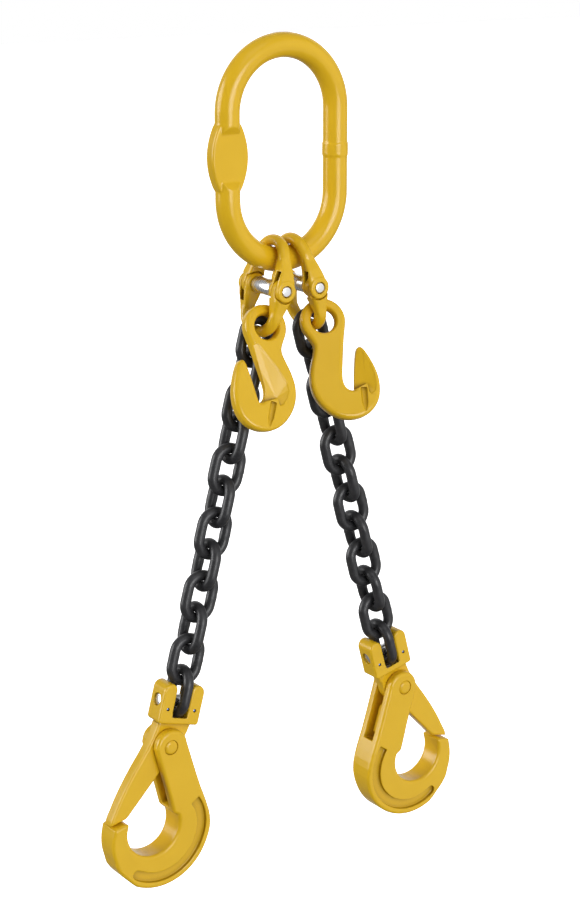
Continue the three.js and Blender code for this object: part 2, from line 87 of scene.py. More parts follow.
TRIGGER = dict(u=-15.5, v=4, pin=2, pin_half=5.3, half_t=3.4, edge=0.7)
SPRING_COIL = dict(turns=2.5, radius=3.2, height=5.2, wire=0.42, tilt=-34.8, u=-17.2, v=-11.2)
GRAB_POSE = {"left": dict(yaw=-3, pitch=22, lean=-5), "right": dict(yaw=-22, pitch=26, lean=6)}
SIDES = {"left": -1, "right": 1}

# an ear's sections from the bar down to the pin's axis: (z, inner y, outer y, half width in X)
UPPER_EAR = [(27, 12.0, 16.6, 3.0), (23, 11.9, 18.9, 4.3), (19, 12.1, 20.8, 4.8), (14, 12.9, 23.4, 5.7),
             (9, 13.4, 25.2, 6.6), (4, 13.6, 26.2, 7.5), (0, 13.6, 26.4, 7.9)]
LOWER_EAR = [(24, 16.4, 21.6, 3.0), (20, 15.4, 22.6, 4.2), (16.5, 15.0, 23.2, 4.8), (13, 14.6, 24.2, 5.6),
             (9, 13.9, 25.4, 6.6), (4, 13.6, 26.2, 7.5), (0, 13.6, 26.4, 7.9)]
# crown is the height inside the bow; corner and half are its corner radius and half width on the bar's
# centre line; lean is how far its sides lean in; splay is how its ends run out to the ears
UPPER_HALF = dict(crown=30.2, corner=16.1, half=16.1, lean=12, splay=0.3, fork_side=-1, ear=UPPER_EAR)
LOWER_HALF = dict(crown=28.65, corner=16, half=19, lean=0, splay=0.05, fork_side=1, ear=LOWER_EAR)

# cradle floors as (x, z, depth below the face): the horn's on the front, the shank's on the back
HORN_POCKET = [(22.6, -51.5, 3.0), (22.8, -58, 1.9), (24, -60, 0.5), (27.4, -58, 0.4), (29.4, -53, 0.4),
               (29.6, -46, 0.4), (28, -36, 0.5), (25, -23, 0.4), (25, -17, 0.4), (13, -17, 3.9),
               (13, -54.6, 5.4)]
SHANK_POCKET = [(-2, -52.5, 3.2), (11.8, -55, 5.2), (13.4, -55, 5.4), (15, -17, 2.3), (13.4, -13, 1.4),
                (9.6, -12, 0.4), (1.4, -23, 0.4), (-4.9, -31.7, 0.4), (-10.8, -42, 0.4), (-11.8, -47, 0.4),
                (-9.5, -53, 0.4), (-5.5, -57.5, 0.5), (-2.6, -58, 1.5)]
# groove in the raised stop below the chain slot: its start and end, (x, z), on the front and back face
GROOVE = {-1: ((19.4, -54), (17.2, -73)), 1: ((1.8, -55), (8.4, -74))}

# soft lights: the direction each comes from, its strength and its width in degrees
LIGHTS = {
    "front": ((-0.05, -1.0, 0.05), 2.1, 36),
    "fill": ((0.6, -0.8, -0.05), 0.8, 80),
    "left": ((-0.84, 0.5, 0.2), 2.1, 40),
    "above": ((-0.1, -0.7, 1.0), 0.3, 40),
    "back": ((0.56, 0.83, 0.05), 0.9, 80),
}
# place in metres, turn in degrees, lens and sensor in millimetres
CAMERA = dict(place=(-0.8591, -1.2747, 0.1211), turn=(75.09, 0.03, -34.193), lens=85.53, sensor=36)

record = frame["record"]
BODY_OF = {n: b for b, names in record["behaviour"]["bodies"].items() for n in names}
JOINT_AT = {j["name"]: Vector(j["pos_m"]) for j in frame["joints"]}
JOINT_AXIS = {j["name"]: Vector(j["axis"]).normalized() for j in frame["joints"]}


# ------------------------------------------------------------------ outlines
def polar(cx, cy, r, degrees):
    a = math.radians(degrees)
    return (cx + r * math.cos(a), cy + r * math.sin(a))


def arc(cx, cy, r, start, end, steps):
    return [polar(cx, cy, r, start + (end - start) * i / steps) for i in range(steps + 1)]


def softened(points, rounds=3):
    """Cuts the corners of a closed outline until it runs smoothly."""
    for _ in range(rounds):
        cut = []
        for (x0, y0), (x1, y1) in zip(points, points[1:] + points[:1]):
            cut.append((0.75 * x0 + 0.25 * x1, 0.75 * y0 + 0.25 * y1))
            cut.append((0.25 * x0 + 0.75 * x1, 0.25 * y0 + 0.75 * y1))
        points = cut
    return points


def both_ends(side):
    """A turned pin's profile from one end's (radius, y) points, mirrored to the other end."""
    return side + [(x, -y) for x, y in reversed(side)]


# ------------------------------------------------------------------ meshes
def linked(name, data):
    obj = bpy.data.objects.new(name, data)
    bpy.context.scene.collection.objects.link(obj)
    return obj


def baked(obj):
    """The object's shape with its modifiers applied; the object itself is removed."""
    bpy.context.view_layer.update()
    shape = obj.evaluated_get(bpy.context.evaluated_depsgraph_get())
    mesh = bpy.data.meshes.new_from_object(shape)
    bpy.data.objects.remove(obj)
    return mesh


def mesh_of(verts, faces):
    mesh = bpy.data.meshes.new("shape")
    mesh.from_pydata(verts, [], faces)
    mesh.update()
    return mesh


def outward(mesh):
    """Merges doubled points and turns the faces outwards."""
    bm = bmesh.new()
    bm.from_mesh(mesh)
    bmesh.ops.remove_doubles(bm, verts=bm.verts, dist=1e-4)
    bmesh.ops.recalc_face_normals(bm, faces=bm.faces)
    bm.to_mesh(mesh)
    bm.free()
    return mesh


def moved(mesh, x=0.0, y=0.0, z=0.0):
    mesh.transform(Matrix.Translation((x, y, z)))
    return mesh


def turned_about(mesh, axis, degrees):
    mesh.transform(Matrix.Rotation(math.radians(degrees), 4, axis))
    return mesh


def plate(points, half_t, edge=0.0, steps=4):
    """A closed XZ outline, thickened to both sides of y = 0, its rims rounded with radius edge."""
    curve = bpy.data.curves.new("outline", "CURVE")
    curve.dimensions = "2D"
    curve.fill_mode = "BOTH"
    curve.extrude = half_t - edge
    curve.bevel_depth = edge
    curve.bevel_resolution = steps
    curve.offset = -edge
    spline = curve.splines.new("POLY")
    spline.points.add(len(points) - 1)
    for point, (x, z) in zip(spline.points, points):
        point.co = (x, z, 0, 1)
    spline.use_cyclic_u = True
    mesh = baked(linked("outline", curve))
    bpy.data.curves.remove(curve)
    return outward(turned_about(mesh, "X", 90))


def block(x0, x1, y0, y1, z0, z1):
    verts = [(x, y, z) for x in (x0, x1) for y in (y0, y1) for z in (z0, z1)]
    faces = [(0, 1, 3, 2), (4, 6, 7, 5), (0, 4, 5, 1), (2, 3, 7, 6), (0, 2, 6, 4), (1, 5, 7, 3)]
    return outward(mesh_of(verts, faces))


def prism(points, low, high):
    """A closed outline of (y, z) points run from low to high along X."""
    n = len(points)
    verts = [(x, y, z) for x in (low, high) for y, z in points]
    faces = [(i, (i + 1) % n, n + (i + 1) % n, n + i) for i in range(n)]
    faces += [tuple(range(n)), tuple(range(n, 2 * n))]
    return outward(mesh_of(verts, faces))


def turned(profile, sides=48):
    """A profile of (radius, y) points, from the axis to the axis, turned about the Y axis."""
    verts = []
    for r, y in profile:
        for k in range(sides):
            a = 2 * math.pi * k / sides
            verts.append((r * math.cos(a), y, r * math.sin(a)))
    faces = []
    for i in range(len(profile) - 1):
        for k in range(sides):
            n = (k + 1) % sides
            faces.append((i * sides + k, i * sides + n, (i + 1) * sides + n, (i + 1) * sides + k))
    return outward(mesh_of(verts, faces))


def rod(r, y0, y1, x=0.0, z=0.0):
    """A round bar along Y."""
    return moved(turned([(0, y0), (r, y0), (r, y1), (0, y1)]), x, 0, z)


def cross_rod(r, x0, x1, z=0.0):
    """A round bar along X."""
    return moved(turned_about(rod(r, x0, x1), "Z", -90), 0, 0, z)


def oblong(radius, half, steps, mid=0.0):
    """Stations (point, tangent) round two half-circles in XZ whose centres lie half from the middle."""
    out = []
    for start, shift in ((0, half), (180, -half)):
        for i in range(steps + 1):
            a = math.radians(start + 180 * i / steps)
            point = (radius * math.cos(a), 0, mid + shift + radius * math.sin(a))
            out.append((Vector(point), Vector((-math.sin(a), 0, math.cos(a)))))
    return out


def sweep(stations, radius, side, sides, closed=True, side_radius=None, swell=None):
    """A round bar along stations that lie in one plane; swell(i) scales the section at a station."""
    side_radius = side_radius or radius
    s = Vector(side)
    verts = []
    for i, (point, tangent) in enumerate(stations):
        n = tangent.normalized().cross(s).normalized()
        grow = swell(i) if swell else 1.0
        for k in range(sides):
            a = 2 * math.pi * (k + 0.5) / sides
            verts.append(point + n * (radius * grow * math.cos(a)) + s * (side_radius * grow * math.sin(a)))
    count = len(stations)
    faces = []
    for i in range(count if closed else count - 1):
        a, b = i * sides, (i + 1) % count * sides
        for k in range(sides):
            n = (k + 1) % sides
            faces.append((a + k, b + k, b + n, a + n))
    if not closed:
        faces.append(tuple(range(sides)))
        faces.append(tuple((count - 1) * sides + k for k in range(sides)))
    return outward(mesh_of(verts, faces))


def loft(sections, sides=48, square=4.6):
    """Rounded-rectangle sections (z, y0, y1, half width in X) joined up along Z."""
    verts = []
    for z, y0, y1, half_x in sections:
        for k in range(sides):
            c, s = math.cos(2 * math.pi * k / sides), math.sin(2 * math.pi * k / sides)
            x = math.copysign(abs(c) ** (2 / square), c) * half_x
            y = (y0 + y1) / 2 + math.copysign(abs(s) ** (2 / square), s) * (y1 - y0) / 2
            verts.append((x, y, z))
    last = (len(sections) - 1) * sides
    faces = [tuple(range(sides)), tuple(range(last, last + sides))]
    for i in range(len(sections) - 1):
        for k in range(sides):
            n = (k + 1) % sides
            faces.append((i * sides + k, i * sides + n, (i + 1) * sides + n, (i + 1) * sides + k))
    return outward(mesh_of(verts, faces))


def wire(points, radius):
    """A round wire through the points."""
    curve = bpy.data.curves.new("wire", "CURVE")
    curve.dimensions = "3D"
    curve.bevel_depth = radius
    curve.bevel_resolution = 3
    curve.use_fill_caps = True
    spline = curve.splines.new("POLY")
    spline.points.add(len(points) - 1)
    for point, co in zip(spline.points, points):
        point.co = (*co, 1)
    mesh = baked(linked("wire", curve))
    bpy.data.curves.remove(curve)
    return outward(mesh)


def less(mesh, cutters):
    """The mesh with the cutters taken out of it."""
    obj = linked("base", mesh)
    tools = []
    for cutter in cutters:
        tool = linked("cutter", cutter.copy())
        step = obj.modifiers.new("cut", "BOOLEAN")
        step.operation = "DIFFERENCE"
        step.solver = "MANIFOLD"
        step.object = tool
        tools.append(tool)
    result = baked(obj)
    for tool in tools:
        bpy.data.objects.remove(tool)
    return result


def joined(meshes):
    bm = bmesh.new()
    for mesh in meshes:
        bm.from_mesh(mesh)
    result = bpy.data.meshes.new("joined")
    bm.to_mesh(result)
    bm.free()
    return result


def forged(solids, cutters=(), drilled=(), grain=0.5, smooth=6):
    """Joins solids, takes the cutters out, rounds every edge a little and drills crisp holes last."""
    parts = [less(m, cutters) if cutters else m for m in solids]
    obj = linked("forging", joined(parts))
    grid = obj.modifiers.new("grid", "REMESH")
    grid.mode = "VOXEL"
    grid.voxel_size = grain
    relax = obj.modifiers.new("relax", "SMOOTH")
    relax.factor = 0.5
    relax.iterations = smooth
    mesh = baked(obj)
    return less(mesh, drilled) if drilled else mesh


# ------------------------------------------------------------------ finishes
def material(name, roughness, metallic=0.0):
    """A material with plain values; nodes added later may drive its roughness instead."""
    mat = bpy.data.materials.new(name)
    mat.use_nodes = True
    shader = mat.node_tree.nodes["Principled BSDF"]
    shader.inputs["Metallic"].default_value = metallic
    shader.inputs["Roughness"].default_value = roughness
    return mat, mat.node_tree, shader


def grainy(tree, scale, detail=3.0, stretch=(1, 1, 1)):
    """Noise over the piece's own coordinates; scale is in cells per metre."""
    where = tree.nodes.new("ShaderNodeTexCoord")
    map_ = tree.nodes.new("ShaderNodeMapping")
    map_.inputs["Scale"].default_value = stretch
    noise = tree.nodes.new("ShaderNodeTexNoise")
    noise.inputs["Scale"].default_value = scale
    noise.inputs["Detail"].default_value = detail
    tree.links.new(where.outputs["Object"], map_.inputs["Vector"])
    tree.links.new(map_.outputs["Vector"], noise.inputs["Vector"])
    return noise.outputs["Fac"]


def ramp(tree, source, low, high, start=0.3, end=0.7):
    """Blends colour low to colour high as source goes from start to end."""
    node = tree.nodes.new("ShaderNodeValToRGB")
    node.color_ramp.elements[0].position = start
    node.color_ramp.elements[0].color = (*low, 1)
    node.color_ramp.elements[1].position = end
    node.color_ramp.elements[1].color = (*high, 1)
    tree.links.new(source, node.inputs["Fac"])
    return node.outputs["Color"]


def spread(tree, source, low, high):
    """A value that goes from low to high over the middle of a noise."""
    node = tree.nodes.new("ShaderNodeMapRange")
    node.inputs["From Min"].default_value = 0.3
    node.inputs["From Max"].default_value = 0.7
    node.inputs["To Min"].default_value = low
    node.inputs["To Max"].default_value = high
    tree.links.new(source, node.inputs["Value"])
    return node.outputs["Result"]


def bump(tree, source, strength, depth, under=None):
    """Relief of the given depth in metres, on top of the relief under it."""
    node = tree.nodes.new("ShaderNodeBump")
    node.inputs["Strength"].default_value = strength
    node.inputs["Distance"].default_value = depth
    tree.links.new(source, node.inputs["Height"])
    if under:
        tree.links.new(under, node.inputs["Normal"])
    return node.outputs["Normal"]


def crevice_shaded(tree, shade):
    """The colour, darkened by painted shade in corners and recesses where the occlusion is deep."""
    # painted shade: ambient occlusion darkens the colour towards a dark olive in corners and recesses
    corners = tree.nodes.new("ShaderNodeAmbientOcclusion")
    corners.samples = 12
    corners.only_local = True
    corners.inputs["Distance"].default_value = 0.008
    depth = ramp(tree, corners.outputs["AO"], (0.22, 0.18, 0.08), (1, 1, 1), 0.25, 0.9)
    mix = tree.nodes.new("ShaderNodeMix")
    mix.data_type = "RGBA"
    mix.blend_type = "MULTIPLY"
    # a colour mix has its factor at socket 0, its colours at 6 and 7 and its result at output 2
    mix.inputs[0].default_value = 1.0
    tree.links.new(shade, mix.inputs[6])
    tree.links.new(depth, mix.inputs[7])
    return mix.outputs[2]


def yellow_paint():
    """Powder coat: satin, with orange peel, a faint forging unevenness, slight random tone changes and
    painted shade in its crevices.
    """
    mat, tree, shader = material("yellow_powder_coat", 0.36)
    shade = ramp(tree, grainy(tree, 38, 4), (0.73, 0.442, 0.010), (0.76, 0.466, 0.013))
    # painted shade: the base colour is darkened in corners and recesses by ambient occlusion
    tree.links.new(crevice_shaded(tree, shade), shader.inputs["Base Color"])
    tree.links.new(spread(tree, grainy(tree, 160, 3), 0.2, 0.25), shader.inputs["Roughness"])
    forging = bump(tree, grainy(tree, 90, 2), 0.015, 0.0002)
    peel = bump(tree, grainy(tree, 1400, 2), 0.04, 0.0001, forging)
    tree.links.new(peel, shader.inputs["Normal"])
    shader.inputs["Specular IOR Level"].default_value = 0.42
    return mat


def black_chain():
    """Dark satin paint over drawn wire, with the mill scale just showing through."""
    mat, tree, shader = material("black_chain_paint", 0.4, 0.15)
    shade = ramp(tree, grainy(tree, 240, 5), (0.022, 0.022, 0.024), (0.042, 0.042, 0.045))
    tree.links.new(shade, shader.inputs["Base Color"])
    tree.links.new(spread(tree, grainy(tree, 420, 4), 0.3, 0.46), shader.inputs["Roughness"])
    scale = bump(tree, grainy(tree, 700, 4), 0.18, 0.0002)
    tree.links.new(scale, shader.inputs["Normal"])
    return mat


def bright_steel(name, low, high, stretch):
    """Bare metal with fine lines; stretch draws them out along some axes."""
    mat, tree, shader = material(name, 0.22, 1.0)
    shade = ramp(tree, grainy(tree, 120, 2), low, high)
    tree.links.new(shade, shader.inputs["Base Color"])
    lines = grainy(tree, 900, 2, stretch)
    tree.links.new(spread(tree, lines, 0.24, 0.3), shader.inputs["Roughness"])
    tree.links.new(bump(tree, lines, 0.012, 0.00003), shader.inputs["Normal"])
    return mat


PAINT = yellow_paint()
CHAIN_BLACK = black_chain()
STEEL = bright_steel("bright_steel", (0.86, 0.87, 0.88), (0.94, 0.945, 0.95), (0.1, 2.0, 0.1))
BLUED = bright_steel("blued_steel", (0.10, 0.14, 0.28), (0.18, 0.24, 0.42), (0.1, 2.0, 0.1))
SPRING = bright_steel("spring_wire", (0.45, 0.46, 0.48), (0.62, 0.63, 0.65), (1.0, 1.0, 1.0))


# ------------------------------------------------------------------ placing
def finished(mesh, finish):
    """Turns a millimetre mesh into metres and gives it its finish."""
    mesh.transform(Matrix.Scale(MM, 4))
    mesh.materials.clear()
    mesh.materials.append(finish)
    mesh.polygons.foreach_set("use_smooth", [True] * len(mesh.polygons))
    mesh.set_sharp_from_angle(angle=math.radians(CREASE))
    return mesh


def place(node, mesh, matrix):
    """Puts a finished mesh where its CAD node is, to ride on the node's body.

    The turn goes into the mesh and only the shift into the object, so that its box fits tightly.
    """
    shape = mesh.copy()
    shape.transform(matrix.to_3x3().to_4x4())
    obj = linked(f"{node}_surface", shape)
    obj.location = matrix.translation
    bpy.context.view_layer.update()
    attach(obj, BODY_OF[node])
    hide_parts(node)


def framed(origin, x, y, z):
    """The placing that takes the three axes to x, y and z, from origin."""
    return Matrix.Translation(origin) @ Matrix((x, y, z)).transposed().to_4x4()


def centre(node):
    low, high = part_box(node)
    return (Vector(low) + Vector(high)) / 2


# ------------------------------------------------------------------ master link
def pad_troughs(ring, mid):
    """Cutters for the marking pad's two flats, with slopes up to the round bar at their ends."""
    flat = MASTER["pad_h"] / 2 - MASTER["shoulder"]
    end = flat + MASTER["slope_run"]
    low = MASTER["pad_t"] / 2
    high = low + MASTER["slope_rise"]
    cutters = []
    for s in (-1, 1):
        trough = [(s * low, mid - flat), (s * low, mid + flat), (s * high, mid + end), (s * high, mid - end)]
        cutters.append(prism(trough, -ring - MASTER["bar"], -ring + MASTER["bar"]))
    return cutters


def marking_pad(ring, mid):
    """The lens-shaped plate on the ring's left side."""
    half_h, half_w, tip = MASTER["pad_h"] / 2, MASTER["pad_w"] / 2, MASTER["pad_tip"]
    steps = 24
    rim = []
    for side in (-1, 1):
        for i in range(steps + 1):
            z = -side * half_h * (1 - 2 * i / steps)
            bulge = max(0.0, math.cos(z / half_h * math.pi / 2)) ** 0.8
            rim.append((side * (tip + (half_w - tip) * bulge), z))
    return moved(plate(rim, MASTER["pad_t"] / 2, MASTER["pad_edge"]), -ring, 0, mid)


def weld_band(ring, mid):
    """The low band of the weld on the ring's right side."""
    h, r = MASTER["weld_h"] / 2, MASTER["bar"] / 2
    top = r + MASTER["weld_rise"]
    band = turned([(0, -h), (r + 0.3, -h), (top, -h + 0.4), (top, h - 0.4), (r + 0.3, h), (0, h)])
    return moved(turned_about(band, "X", 90), ring, 0, mid)


def master_link():
    ring = (MASTER["inner_w"] + MASTER["bar"]) / 2
    half = (MASTER["inner_l"] - MASTER["inner_w"]) / 2
    mid = -MASTER["inner_l"] / 2
    bar = sweep(oblong(ring, half, 64, mid), MASTER["bar"] / 2, (0, 1, 0), 48)
    solids = [less(bar, pad_troughs(ring, mid)), marking_pad(ring, mid), weld_band(ring, mid)]
    return forged(solids, grain=0.64, smooth=2)


# ------------------------------------------------------------------ coupling links
def coupling_bow(shape):
    """The bent bar of a coupling half, from one ear over the crown to the other."""
    corner, half, lean, splay = (shape[k] for k in ("corner", "half", "lean", "splay"))
    end_y, end_z = COUPLING["end_y"], COUPLING["end_z"]
    top = shape["crown"] + COUPLING["bar"]
    steps = 16
    stations = [(Vector((0, -end_y, end_z)), Vector((0, splay, 1)))]
    for s, a0, a1 in ((-1, 180 - lean, 90), (1, 90, lean)):
        # a bow with no straight crown has one station there, not two
        first = 1 if s > 0 and half == corner else 0
        for i in range(first, steps + 1):
            a = math.radians(a0 + (a1 - a0) * i / steps)
            point = (0, s * (half - corner) + corner * math.cos(a), top - corner + corner * math.sin(a))
            stations.append((Vector(point), Vector((0, math.sin(a), -math.cos(a)))))
    stations.append((Vector((0, end_y, end_z)), Vector((0, splay, -1))))
    return sweep(stations, COUPLING["bar"], (1, 0, 0), 32, False, COUPLING["bar_side"])


def ear_cutters(fork_side):
    """Cutters for the slot of the forked ear, the two steps beside the other's tongue and the sleeve."""
    middle = (COUPLING["ear_inner"] + COUPLING["half"]) / 2
    w = COUPLING["tongue"] / 2
    reach = COUPLING["ear"] + 1.2
    slot = (fork_side * middle - w - GAP, fork_side * middle + w + GAP)
    tongue = -fork_side * middle
    sleeve_half = COUPLING["ear_inner"] - 0.01
    return [
        rod(reach, *slot),
        block(-12, 12, *slot, 0, COUPLING["slot_top"]),
        rod(reach, tongue + w, tongue + 12),
        rod(reach, tongue - 12, tongue - w),
        rod(COUPLING["sleeve"] + 1, -sleeve_half, sleeve_half),
    ]


def coupling_half(shape):
    """The bow with an ear at each end; each ear grows out of the bar and widens towards the pin."""
    inner, outer = COUPLING["ear_inner"], COUPLING["half"]
    solids = [coupling_bow(shape)]
    outline = arc(0, 0, COUPLING["ear"], 0, 345, 46)
    for s in (-1, 1):
        disc = plate(outline, (outer - inner) / 2, COUPLING["ear_edge"])
        solids.append(moved(disc, 0, s * (inner + outer) / 2, 0))
        solids.append(loft([(z, *sorted((s * a, s * b)), x) for z, a, b, x in shape["ear"]]))
    pin_hole = rod(COUPLING["pin"] + GAP, -THROUGH, THROUGH)
    return forged(solids, ear_cutters(shape["fork_side"]), [pin_hole], grain=0.4, smooth=4)


def coupling_pin():
    h, r = COUPLING["half"], COUPLING["pin"]
    side = [(0, -h + 0.2), (r - 1.1, -h + 0.2), (r - 0.85, -h + 0.3), (r - 0.7, -h + 0.6),
            (r - 0.65, -h + 1.6), (r, -h + 1.9)]
    return turned(both_ends(side), 48)


def coupling_sleeve():
    h, r, bore = COUPLING["ear_inner"] - GAP, COUPLING["sleeve"], COUPLING["pin"] + GAP
    rim = [(bore, -h), (r - 1.6, -h), (r - 1.1, -h + 0.3), (r - 1.0, -h + 1.8), (r - 0.3, -h + 2.1),
           (r, -h + 2.6)]
    profile = both_ends(rim)
    return turned(profile + profile[:1], 56)


# ------------------------------------------------------------------ grab hooks
def pocket(floor, side):
    """A cutter down to a folded floor, fanned out from the floor's first corner."""
    t = GRAB["half_t"]
    n = len(floor)
    verts = [(x, side * (t - d), z) for x, z, d in floor]
    verts += [(x, side * (t + 3), z) for x, z, d in floor]
    faces = [(i, (i + 1) % n, n + (i + 1) % n, n + i) for i in range(n)]
    for base in (0, n):
        faces += [(base, base + i, base + i + 1) for i in range(1, n - 1)]
    return outward(mesh_of(verts, faces))


def stop_groove(side):
    """A tapered cutter lying in the face, wide and deep at the slot's end."""
    (x0, z0), (x1, z1) = GROOVE[side]
    length = math.hypot(x1 - x0, z1 - z0)
    cone = turned([(0, 0), (2.5, 0), (2.3, 0.6 * length), (0.4, length), (0, length)], 32)
    along = Vector((x1 - x0, 0, z1 - z0)).normalized()
    out = Vector((0, side, 0))
    cone.transform(framed((x0, side * (GRAB["half_t"] + 0.2), z0), along.cross(out), along, out))
    return cone


def eye_bore():
    """A cutter for the eye's hole, whose rim rounds out to both faces."""
    t = GRAB["half_t"]
    steps = 20
    wall = []
    for i in range(steps + 1):
        y = -t + 2 * t * i / steps
        rise = 1 - math.sqrt(max(0.0, 1 - (y / (t + 0.4)) ** 2))
        wall.append((GRAB["hole"] + GRAB["hole_flare"] * rise, y))
    mouth = wall[0][0] + 1.5
    return turned([(0, -t - 2), (mouth, -t - 2), *wall, (mouth, t + 2), (0, t + 2)], 64)


def grab_hook():
    """The eye on top, the horn to the right of the chain slot and the round bowl below them."""
    outline = arc(0, 0, GRAB["eye"], 212, -18, 28) + [
        # down the slot's left side, round its foot and up its right side
        (12.6, -16), (10.6, -24), (8.6, -32), (6.6, -40), (5.6, -46), (6.4, -51), (9, -54), (12.6, -55),
        (13.6, -52), (15.6, -42), (18, -32), (20.2, -24.6),
        # over the horn's tip, round the bowl and up the back to the eye
        (22.4, -23), (25.4, -24.4), (28.8, -32), (31.4, -40), (32.8, -48), (32.2, -57), (29.4, -65),
        (23.6, -71.6), (15, -75.6), (5.4, -76), (-3.2, -73), (-10.2, -67.4), (-15.6, -60), (-18.6, -51.4),
        (-18.6, -42), (-16, -32.6), (-12.4, -24.5), (-10.6, -19), (-11, -15.4)]
    body = plate(softened(outline), GRAB["half_t"], GRAB["edge"])
    cutters = [eye_bore(), pocket(HORN_POCKET, -1), pocket(SHANK_POCKET, 1), stop_groove(-1), stop_groove(1)]
    return forged([body], cutters, grain=0.34, smooth=2)


# ------------------------------------------------------------------ chain
def chain_link():
    ring = (CHAIN["inner_w"] + CHAIN["wire"]) / 2
    half = (CHAIN["inner_l"] - CHAIN["inner_w"]) / 2
    stations = oblong(ring, half, 18)
    # extra stations along the straight with the resistance weld
    parts = 8
    for i in range(1, parts):
        stations.append((Vector((ring, 0, -half + 2 * half * i / parts)), Vector((0, 0, 1))))
    weld_at = len(stations) - parts // 2

    def swell(i):
        return 1 + CHAIN["weld_rise"] * math.exp(-((i - weld_at) / 1.1) ** 2)

    return sweep(stations, CHAIN["wire"] / 2, (0, 1, 0), 24, swell=swell)


# ------------------------------------------------------------------ self-locking hooks
def clevis_outline():
    """Two ears with rounded tops, joined by the block below the chain's slot."""
    w, bottom, top, slot = (CLEVIS[k] for k in ("half_w", "bottom", "top", "slot"))
    web = CLEVIS["pin_v"] - 8
    points = [(-w, bottom + 1.5), (-w + 1.5, bottom), (w - 1.5, bottom), (w, bottom + 1.5)]
    points += arc(w - 6, top - 6, 6, 0, 90, 10) + arc(slot + 5, top - 5, 5, 90, 180, 8)
    points += [(slot, web), (-slot, web)]
    points += arc(-slot - 5, top - 5, 5, 0, 90, 8) + arc(-w + 6, top - 6, 6, 90, 180, 10)
    return points


def clevis_latch():
    """The clevis block and the latch arm below it, in one piece."""
    slot, pin_v = CLEVIS["slot"], CLEVIS["pin_v"]
    arm = [
        # down the inner side
        (-14.2, 46), (-12.6, 38), (-11, 33), (-10.4, 24), (-7.4, 18.6), (-2.6, 15.4), (2.2, 9), (6.4, 0.8),
        (11.4, -8.4), (16.2, -17.2), (20.4, -24.6), (23.2, -30),
        # across the crisp tip and back up the outer side
        (25, -32), (25, -32), (36.5, -38.1), (36.5, -38.1),
        (36.9, -34), (35.4, -28), (33.2, -17.6), (29.6, -5.4), (24.8, 8), (20.6, 18), (17.4, 28),
        (15.4, 36), (14.2, 46)]
    solids = [plate(clevis_outline(), CLEVIS["half_t"], CLEVIS["edge"]),
              plate(softened(arm, 2), CLEVIS["arm_half_t"], CLEVIS["arm_edge"])]
    cutters = [cross_rod(CLEVIS["floor"], -slot, slot, pin_v),
               block(-slot, slot, -20, 20, pin_v - CLEVIS["slot_low"], CLEVIS["top"] + 10)]
    drilled = [cross_rod(CLEVIS["pin"] + GAP, -THROUGH, THROUGH, pin_v)]
    for s in (-1, 1):
        drilled.append(rod(CLEVIS["keep"] + GAP, -THROUGH, THROUGH, s * CLEVIS["keep_u"], CLEVIS["keep_v"]))
    drilled.append(rivet_hole())
    return forged(solids, cutters, drilled, grain=0.42, smooth=3)


def rivet_hole():
    return rod(HOOK["rivet"] + GAP, -THROUGH, THROUGH, HOOK["rivet_u"], HOOK["rivet_v"])


def thinned(v):
    """The hook's thickness at height v over its thickness at the cheeks."""
    t = min(max((-12 - v) / 40, 0), 1)
    return 1 - (t * t * (3 - 2 * t)) * (1 - HOOK["bowl_t"] / HOOK["cheek"])


def crescent_recess(s):
    """A cutter for the shallow crescent that follows the bowl on the face at side s."""
    cu, cv, inner, outer = (HOOK[k] for k in ("cu", "cv", "recess_in", "recess_out"))
    points = arc(cu, cv, outer, 131, 288, 40)
    points += arc(*polar(cu, cv, HOOK["tail_at"], 290), HOOK["tail"], -60, 110, 6)
    points += arc(cu, cv, inner, 284, 131, 40)
    recess = plate(points, 10)
    for vertex in recess.vertices:
        floor = HOOK["cheek"] * thinned(vertex.co.z) - HOOK["recess"]
        vertex.co.y = s * THROUGH if vertex.co.y * s > 0 else s * floor
    return recess


def hook_body():
    """Two cheeks on either side of the latch arm, run together into the thinner bowl."""
    cu, cv, outer = HOOK["cu"], HOOK["cv"], HOOK["outer"]
    outline = arc(2.7, 27, 13, 160, 0, 20) + [(15.4, 22.4), (2, 0.4), (-9.6, -20.6), (-11.4, -24.2)]
    outline += arc(HOOK["bu"], HOOK["bv"], HOOK["bowl"], 148, 352, 40) + [(24.6, -32.6), (35.6, -38.9)]
    outline += arc(cu + 3.2, cv - 3, 36.6, 3, -34, 8) + arc(cu, cv, outer - 1.8, -44, -62, 4)
    outline += arc(cu, cv, outer, -76, -192, 24) + [(-44.4, -23), (-36.4, -10.6), (-28.8, 0)]
    body = plate(softened(outline, 1), HOOK["cheek"], HOOK["edge"])
    for vertex in body.vertices:
        vertex.co.y *= thinned(vertex.co.z)
    fork = [(-36, -3.9), (-33.2, -5.9), (-9.2, -22.6), (4, -20), (50, 0), (50, 60), (-60, 60), (-60, 12.9)]
    cutters = [plate(fork, HOOK["slot_half"]), crescent_recess(-1), crescent_recess(1)]
    return forged([body], cutters, [rivet_hole()], grain=0.49, smooth=2)


def pivot_rivet():
    e, r = HOOK["cheek"], HOOK["rivet"]
    side = [(0, -e - 0.9), (2.2, -e - 0.86), (3.8, -e - 0.66), (4.7, -e - 0.3), (r - 0.35, -e + 0.1),
            (r - 0.1, -e + 0.35), (r, -e + 0.8)]
    return moved(turned(both_ends(side), 64), HOOK["rivet_u"], 0, HOOK["rivet_v"])


def load_pin():
    """The pin through the last link, waisted where the retaining pins cross it."""
    end = CLEVIS["half_w"] - CLEVIS["pin_inset"]
    r, ku, waist = CLEVIS["pin"], CLEVIS["keep_u"], CLEVIS["waist"]
    side = [(0, -end), (r - 0.8, -end), (r - 0.3, -end + 0.25), (r, -end + 0.8),
            (r, -ku - 2.3), (waist + 0.3, -ku - 2.0), (waist, -ku - 1.6),
            (waist, -ku + 1.6), (waist + 0.3, -ku + 2.0), (r, -ku + 2.3)]
    return moved(turned_about(turned(both_ends(side), 48), "Z", -90), 0, 0, CLEVIS["pin_v"])


